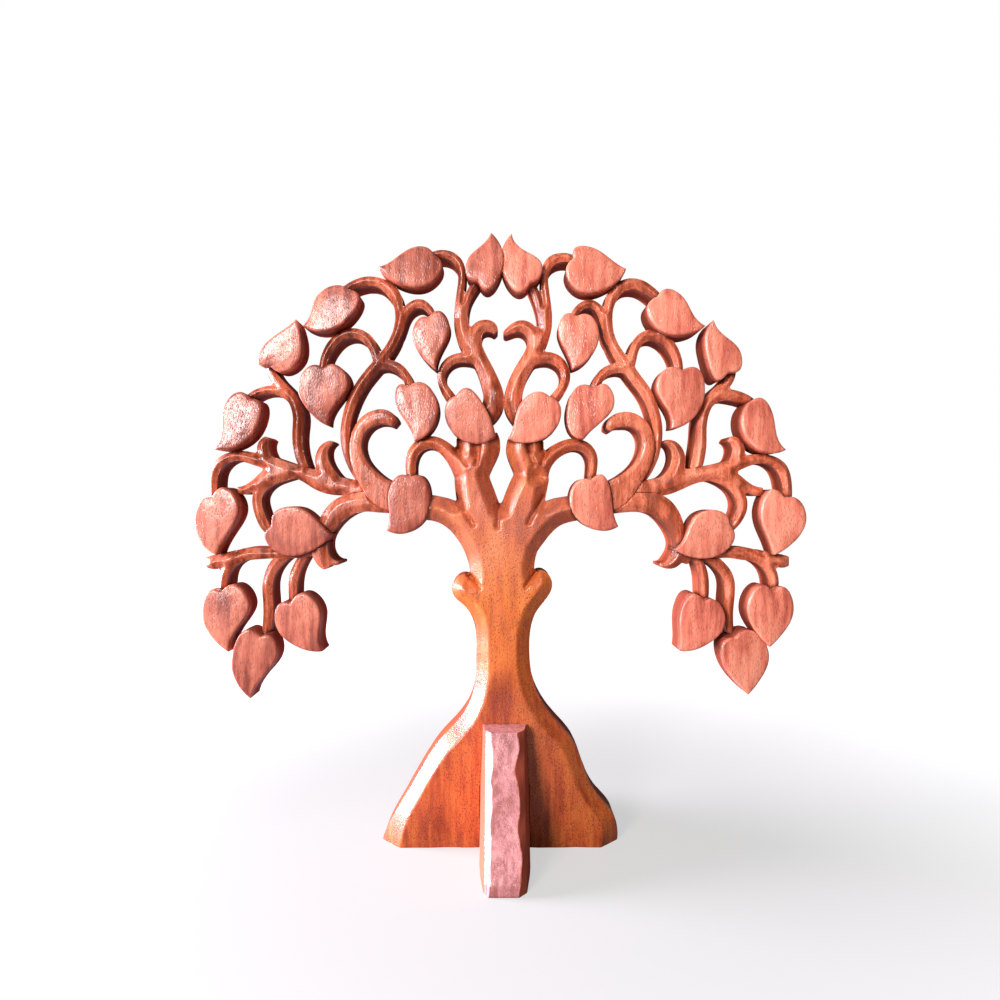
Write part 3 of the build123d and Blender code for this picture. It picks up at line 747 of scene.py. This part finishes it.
class Plank:
    """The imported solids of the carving, read once and kept as merged copies."""

    def __init__(self) -> None:
        """Merge a copy of every node and index it for closeness."""
        self.meshes: dict[str, bmesh.types.BMesh] = {}
        self.trees: dict[str, BVHTree] = {}
        for name, node in frame["nodes"].items():
            mesh = bmesh.new()
            mesh.from_mesh(node.data)
            bmesh.ops.remove_doubles(mesh, verts=mesh.verts, dist=0.002 * MM)
            bmesh.ops.dissolve_degenerate(mesh, edges=mesh.edges, dist=0.001 * MM)
            mesh.normal_update()
            self.meshes[name] = mesh
            self.trees[name] = BVHTree.FromBMesh(mesh)

    def blank(self, name: str, voxel: float) -> bpy.types.Object:
        """Saw out the blank that a node is carved from.

        Args:
            name: The node.
            voxel: Spacing of its even mesh, in mm.

        Returns:
            A helper object with the mesh's modifier still live.
        """
        mesh = bpy.data.meshes.new(name + "_blank")
        self.meshes[name].to_mesh(mesh)
        made = stand(name + "_blank", mesh)
        remesh = made.modifiers.new("even_mesh", "REMESH")
        remesh.mode = "VOXEL"
        remesh.voxel_size = voxel * MM
        return made

    def near(self, name: str) -> list[str]:
        """Find the nodes of the plank that may touch a node.

        Args:
            name: The node.

        Returns:
            Names of the others whose boxes meet its box.
        """
        low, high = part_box(name)
        found = []
        for other in self.meshes:
            if other in (name, "cross_foot"):
                continue
            low2, high2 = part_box(other)
            if all(low[i] <= high2[i] + MM and low2[i] <= high[i] + MM for i in range(3)):
                found.append(other)
        return found

    def edge_walls(self, name: str, rule: Flank, keep_seams: Sequence[str] = ()) -> bpy.types.Object:
        """Collect the sawn walls of a node, from which its front is rounded over.

        Args:
            name: The node.
            rule: Whether walls that touch another node count.
            keep_seams: Words in the names of neighbours whose seam stays a carved groove.

        Returns:
            A helper object that holds only those walls.
        """
        slot_low, slot_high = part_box("cross_foot")
        others = [n for n in self.near(name) if not any(word in n for word in keep_seams)]
        if rule is Flank.WHOLE_OUTLINE:
            others = []
        walls: list[bmesh.types.BMFace] = []
        for face in self.meshes[name].faces:
            centre = face.calc_center_median()
            if abs(face.normal.y) > 0.5 or centre.z < FLOOR_SKIN:
                continue
            over_foot = slot_low[0] - MM < centre.x < slot_high[0] + MM
            if name == "trunk" and over_foot and centre.z < TRUNK_SLOT_TOP:
                continue
            if any(self.trees[n].find_nearest(centre, TOUCHING)[0] is not None for n in others):
                continue
            walls.append(face)
        return faces_object(name + "_walls", walls)

    def joined(self, label: str, names: Iterable[str]) -> bpy.types.Object:
        """Join copies of several nodes into one helper object.

        Args:
            label: Name of the helper.
            names: The nodes.

        Returns:
            The helper object.
        """
        whole = bmesh.new()
        for name in names:
            mesh = bpy.data.meshes.new("part")
            self.meshes[name].to_mesh(mesh)
            whole.from_mesh(mesh)
            bpy.data.meshes.remove(mesh)
        mesh = bpy.data.meshes.new(label)
        whole.to_mesh(mesh)
        whole.free()
        return stand(label, mesh)


def lines_object(name: str, lines: Sequence[Sequence[tuple[float, float]]], depth: float) -> bpy.types.Object:
    """Make a helper object of open lines drawn on the front of the plank.

    Args:
        name: Name of the helper.
        lines: Each line's points as (x, z) in mm.
        depth: Depth of the front, in metres.

    Returns:
        The helper object.
    """
    verts: list[tuple[float, float, float]] = []
    edges: list[tuple[int, int]] = []
    for line in lines:
        for i, (x, z) in enumerate(line):
            if i:
                edges.append((len(verts) - 1, len(verts)))
            verts.append((x * MM, depth, z * MM))
    mesh = bpy.data.meshes.new(name)
    mesh.from_pydata(verts, edges, [])
    return stand(name, mesh)


def drop(piece: bpy.types.Object) -> None:
    """Remove a helper object and its mesh."""
    mesh = piece.data
    bpy.data.objects.remove(piece)
    bpy.data.meshes.remove(mesh)


def plain_mesh(name: str, helper: bpy.types.Object) -> bpy.types.Object:
    """Turn a helper with live modifiers into a finished plain piece.

    Args:
        name: Name of the finished piece.
        helper: The object with its modifiers; it is removed.

    Returns:
        The finished piece, at the origin.
    """
    graph = bpy.context.evaluated_depsgraph_get()
    mesh = bpy.data.meshes.new_from_object(helper.evaluated_get(graph))
    mesh.validate()
    mesh.name = name
    drop(helper)
    return stand(name, mesh)


def hand_over(piece: bpy.types.Object, node: str) -> None:
    """Let a finished piece ride on its node's body and stand for the node."""
    body = next(n for n, nodes in frame["record"]["behaviour"]["bodies"].items() if node in nodes)
    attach(piece, body)
    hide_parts(node)
    LOG.info("%s: %d faces", piece.name, len(piece.data.polygons))


@dataclass
class Workshop:
    """The tools and the plank that every sub-assembly is cut with."""

    plank: Plank = field(default_factory=Plank)
    carver: ReliefCarver = field(default_factory=ReliefCarver)

    def cut(self, node: str, style: CarveStyle, finish: bpy.types.Material, **more: Any) -> None:
        """Carve one node of the plank and hand it over.

        Args:
            node: The CAD node that the piece stands for.
            style: The sizes of the cut.
            finish: Its material.
            more: Further inputs of the carver by name.
        """
        helper = self.plank.blank(node, style.voxel)
        low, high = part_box(node)
        values = {
            "Front": low[1], "Back": high[1], "Rounding": style.rounding * MM,
            "Slope reach": style.slope_reach * MM, "Slope": style.slope,
            "Base reach": style.base_reach * MM, "Facet size": style.facet_size * MM,
            "Facet depth": style.facet_depth * MM, "Wander": style.wander * MM,
            "Stain and shade start": style.stain_and_shade_start * MM, "Middle": tuple((low[i] + high[i]) / 2 for i in range(3)),
            "Material": finish}
        values.update(more)
        self.carver.fit(helper, values)
        hand_over(plain_mesh(node + "_carved", helper), node)


@dataclass
class Leaves:
    """The heart-shaped leaves of one side, standing proud of the branches.

    Attributes:
        side: Which half of the crown.
        finish: Their wood.
        style: How they are cut.
        lean: Tilt of a leaf's face, as rise over run.
        turn: Step from one leaf to the next in the direction of that tilt, in radians.
    """

    side: Side
    finish: WoodFinish
    style: CarveStyle = LEAF_CUT
    lean: float = 0.055
    turn: float = 2.4

    def names(self) -> list[str]:
        """Names of this side's leaf nodes."""
        return sorted(n for n in frame["nodes"] if n.startswith(self.side.value + "_leaf"))

    def build(self, shop: Workshop) -> None:
        """Carve and dress every leaf of this side."""
        wood = self.finish.material()
        for number, name in enumerate(self.names()):
            walls = shop.plank.edge_walls(name, Flank.WHOLE_OUTLINE)
            heading = number * self.turn
            tilt = (self.lean * math.cos(heading), 0.0, self.lean * math.sin(heading))
            shop.cut(name, self.style, wood, Edges=walls, Tilt=tilt, Seed=number * 1.7)
            drop(walls)


@dataclass
class Limbs:
    """The boughs, branches and stems of one side.

    Attributes:
        side: Which half of the crown.
        finish: Their wood.
        flat: Words in the names of limbs with a flat face.
        broad: Words in the names of limbs with a broad rounded face.
    """

    side: Side
    finish: WoodFinish
    flat: Sequence[str] = ("scroll_bough",)
    broad: Sequence[str] = ("drooping_bough",)

    def names(self) -> list[str]:
        """Names of this side's limb nodes."""
        prefix = self.side.value + "_"
        return sorted(n for n in frame["nodes"] if n.startswith(prefix) and "_leaf" not in n)

    def style(self, name: str) -> CarveStyle:
        """Choose from its name how a limb is cut."""
        if any(word in name for word in self.flat):
            return SCROLL_CUT
        if any(word in name for word in self.broad):
            return BOUGH_CUT
        return STEM_CUT

    def build(self, shop: Workshop, leaves: bpy.types.Object) -> None:
        """Carve and dress every limb of this side."""
        wood = self.finish.material()
        for number, name in enumerate(self.names()):
            seams = ("scroll_bough",) if "long_branch" in name else ()
            walls = shop.plank.edge_walls(name, Flank.FREE_EDGES, seams)
            shop.cut(name, self.style(name), wood, Edges=walls, Neighbours=leaves,
                     Seed=40 + number * 1.3)
            drop(walls)


@dataclass
class Trunk:
    """The trunk with its flared base, its forks and the two burrs half way up.

    Attributes:
        finish: Its wood.
        style: How it is cut.
        grooves: Lines of the V cuts in the crotches and over the burrs, as (x, z) in mm.
        hollows: Lines of the deeper cuts between the strands of the fork, as (x, z) in mm.
    """

    finish: WoodFinish = TRUNK_WOOD
    style: CarveStyle = TRUNK_CUT
    grooves: Sequence[Sequence[tuple[float, float]]] = (
        ((-23, 177), (-19, 170), (-13.5, 161.5)), ((0, 175), (-1, 167), (-1.2, 160)),
        ((22, 176), (18, 169.5), (14.3, 162.5)), ((-23, 200), (-17, 191.5)),
        ((-11.7, 192), (-10.5, 199), (-10, 204)), ((25, 201), (21, 192)),
        ((17.3, 191.5), (14.5, 198), (13.5, 203)), ((-16, 135.5), (-13, 133), (-10.5, 130)),
        ((18.5, 137.5), (15.5, 134), (13, 130.5)))
    hollows: Sequence[Sequence[tuple[float, float]]] = (
        ((-12.2, 197), (-12.4, 206)), ((-21, 200), (-21.5, 206)),
        ((15.2, 199), (14.6, 206)), ((21.8, 200), (22.2, 206)))

    def build(self, shop: Workshop, leaves: bpy.types.Object) -> None:
        """Carve and dress the trunk."""
        low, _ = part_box("trunk")
        walls = shop.plank.edge_walls("trunk", Flank.FREE_EDGES)
        grooves = lines_object("trunk_grooves", self.grooves, low[1])
        hollows = lines_object("trunk_hollows", self.hollows, low[1])
        shop.cut("trunk", self.style, self.finish.material(), Edges=walls, Grooves=grooves,
                 Hollows=hollows, Neighbours=leaves)
        for helper in (walls, grooves, hollows):
            drop(helper)


@dataclass
class CrossFoot:
    """The flared foot, its corners pared with a knife.

    Attributes:
        finish: Its wood.
        voxel: Spacing of its mesh, in mm.
        carver: The tool that pares it.
    """

    finish: WoodFinish = FOOT_WOOD
    voxel: float = 0.7
    carver: FootCarver = field(default_factory=FootCarver)

    def ends(self, plank: Plank) -> bpy.types.Object:
        """Collect the two flared end faces of the foot.

        Args:
            plank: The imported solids.

        Returns:
            A helper object that holds only those faces.
        """
        trunk_low, trunk_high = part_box("trunk")
        ends: list[bmesh.types.BMFace] = []
        for face in plank.meshes["cross_foot"].faces:
            centre = face.calc_center_median()
            beyond = centre.y < trunk_low[1] - 2 * MM or centre.y > trunk_high[1] + 2 * MM
            if beyond and abs(face.normal.x) < 0.5 and abs(face.normal.y) > 0.3:
                ends.append(face)
        return faces_object("foot_ends", ends)

    def build(self, shop: Workshop) -> None:
        """Carve and dress the foot."""
        low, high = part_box("cross_foot")
        helper = shop.plank.blank("cross_foot", self.voxel)
        ends = self.ends(shop.plank)
        self.carver.fit(helper, {
            "Centre": (low[0] + high[0]) / 2, "Half width": (high[0] - low[0]) / 2, "Seed": 2.0, "Ends": ends,
            "Material": self.finish.material()})
        hand_over(plain_mesh("cross_foot_carved", helper), "cross_foot")
        drop(ends)


@dataclass
class Studio:
    """Pale floor, soft lights and the camera.

    Attributes:
        eye_height: Height of the camera above the floor, in metres.
        distance: Its distance from the middle of the tree, in metres.
        sensor: Width of its sensor, in mm.
        lens: Its focal length, in mm.
    """

    eye_height: float = 0.17375
    distance: float = 0.392
    sensor: float = 36.0
    lens: float = 27.36

    def floor(self) -> None:
        """Lay a pale floor, with a painted shadow pool under the tree."""
        mesh = bmesh.new()
        corners = ((-3.0, -1.5), (3.0, -1.5), (3.0, 1.8), (-3.0, 1.8))
        mesh.faces.new([mesh.verts.new((x, y, 0.0)) for x, y in corners])
        data = bpy.data.meshes.new("floor")
        mesh.to_mesh(data)
        mesh.free()
        data.materials.append(self.paper())
        stand("floor", data)

    def paper(self) -> bpy.types.Material:
        """Make the matt white paper of the floor, which glows for the camera alone.

        Returns:
            The material; its glow fades where the tree stands, a painted shadow pool.
        """
        made = bpy.data.materials.new("white_paper_with_painted_shadow")
        made.use_nodes = True
        tree = made.node_tree
        tree.nodes.clear()
        place = add_node(tree, "ShaderNodeTexCoord").outputs["Object"]
        away = add_node(tree, VECTOR_MATH, (place, (0.0, 0.0, 0.0)), operation="DISTANCE")
        seen = add_node(tree, "ShaderNodeLightPath").outputs["Is Camera Ray"]
        # painted shadow: the glow dims to a grey pool where the tree stands
        glow_with_painted_shadow = add_node(tree, MAP_RANGE, (
            away.outputs["Value"], 0.1, 0.5, 0.55, 0.97), interpolation_type="SMOOTHSTEP")
        glow_with_painted_shadow = add_node(tree, MATH, (glow_with_painted_shadow, seen), operation="MULTIPLY")
        shader = add_node(tree, "ShaderNodeBsdfPrincipled", {
            "Base Color": srgb("7c7c7c"), "Roughness": 0.9, "Emission Color": srgb("ffffff"),
            "Emission Strength": glow_with_painted_shadow})
        add_node(tree, "ShaderNodeOutputMaterial", (shader,))
        return made

    def light(self, name: str, place: tuple[float, float, float], size: tuple[float, float],
              power: float, colour: str = "ffffff") -> None:
        """Hang one softbox that faces the middle of the tree.

        Args:
            name: Name of the light.
            place: Where it hangs, in metres.
            size: Its width and height, in metres.
            power: Its power, in watts.
            colour: Its colour, as an sRGB hex code.
        """
        lamp = bpy.data.lights.new(name, "AREA")
        lamp.shape = "RECTANGLE"
        lamp.size, lamp.size_y = size
        lamp.energy = power
        lamp.color = srgb(colour)[:3]
        made = bpy.data.objects.new(name, lamp)
        made.location = place
        aim = Vector((0.0, 0.0, 0.15)) - Vector(place)
        made.rotation_euler = aim.to_track_quat("-Z", "Y").to_euler()
        bpy.context.scene.collection.objects.link(made)

    def build(self) -> None:
        """Set the floor, the lights, the sky and the camera."""
        self.floor()
        self.light("window_left", (-1.3, 0.08, 0.28), (0.7, 0.8), 100.0, "f6efff")
        self.light("key_front", (-0.52, -1.05, 0.46), (0.3, 0.3), 15.0, "fff6f4")
        self.light("top_soft", (-0.1, -0.5, 1.2), (0.6, 0.6), 3.0)
        world = bpy.data.worlds.new("white_room")
        world.use_nodes = True
        tree = world.node_tree
        tree.nodes.clear()
        seen = add_node(tree, "ShaderNodeLightPath").outputs["Is Camera Ray"]
        strength = add_node(tree, MAP_RANGE, (seen, 0.0, 1.0, 0.1, 1.0))
        sky = add_node(tree, "ShaderNodeBackground", {"Color": srgb("ffffff"), "Strength": strength})
        add_node(tree, "ShaderNodeOutputWorld", (sky,))
        scene = bpy.context.scene
        scene.world = world
        scene.view_settings.view_transform = "Standard"
        camera = bpy.data.cameras.new("camera")
        camera.sensor_width = self.sensor
        camera.lens = self.lens
        camera.clip_start = 0.01
        made = bpy.data.objects.new("camera", camera)
        made.location = (0.0, -self.distance, self.eye_height)
        made.rotation_euler = (math.radians(90), 0.0, 0.0)
        scene.collection.objects.link(made)
        scene.camera = made


def main() -> None:
    """Build every sub-assembly in order."""
    logging.basicConfig(level=logging.INFO, format="%(name)s: %(message)s")
    shop = Workshop()
    sides = (Leaves(Side.LEFT, LEFT_LEAF_WOOD), Leaves(Side.RIGHT, RIGHT_LEAF_WOOD))
    leaf_copy = shop.plank.joined("leaf_copy", [n for leaves in sides for n in leaves.names()])
    for leaves in sides:
        leaves.build(shop)
    for limbs in (Limbs(Side.LEFT, LEFT_BRANCH_WOOD), Limbs(Side.RIGHT, RIGHT_BRANCH_WOOD)):
        limbs.build(shop, leaf_copy)
    Trunk().build(shop, leaf_copy)
    drop(leaf_copy)
    CrossFoot().build(shop)
    Studio().build()


if __name__ == "__main__":
    main()
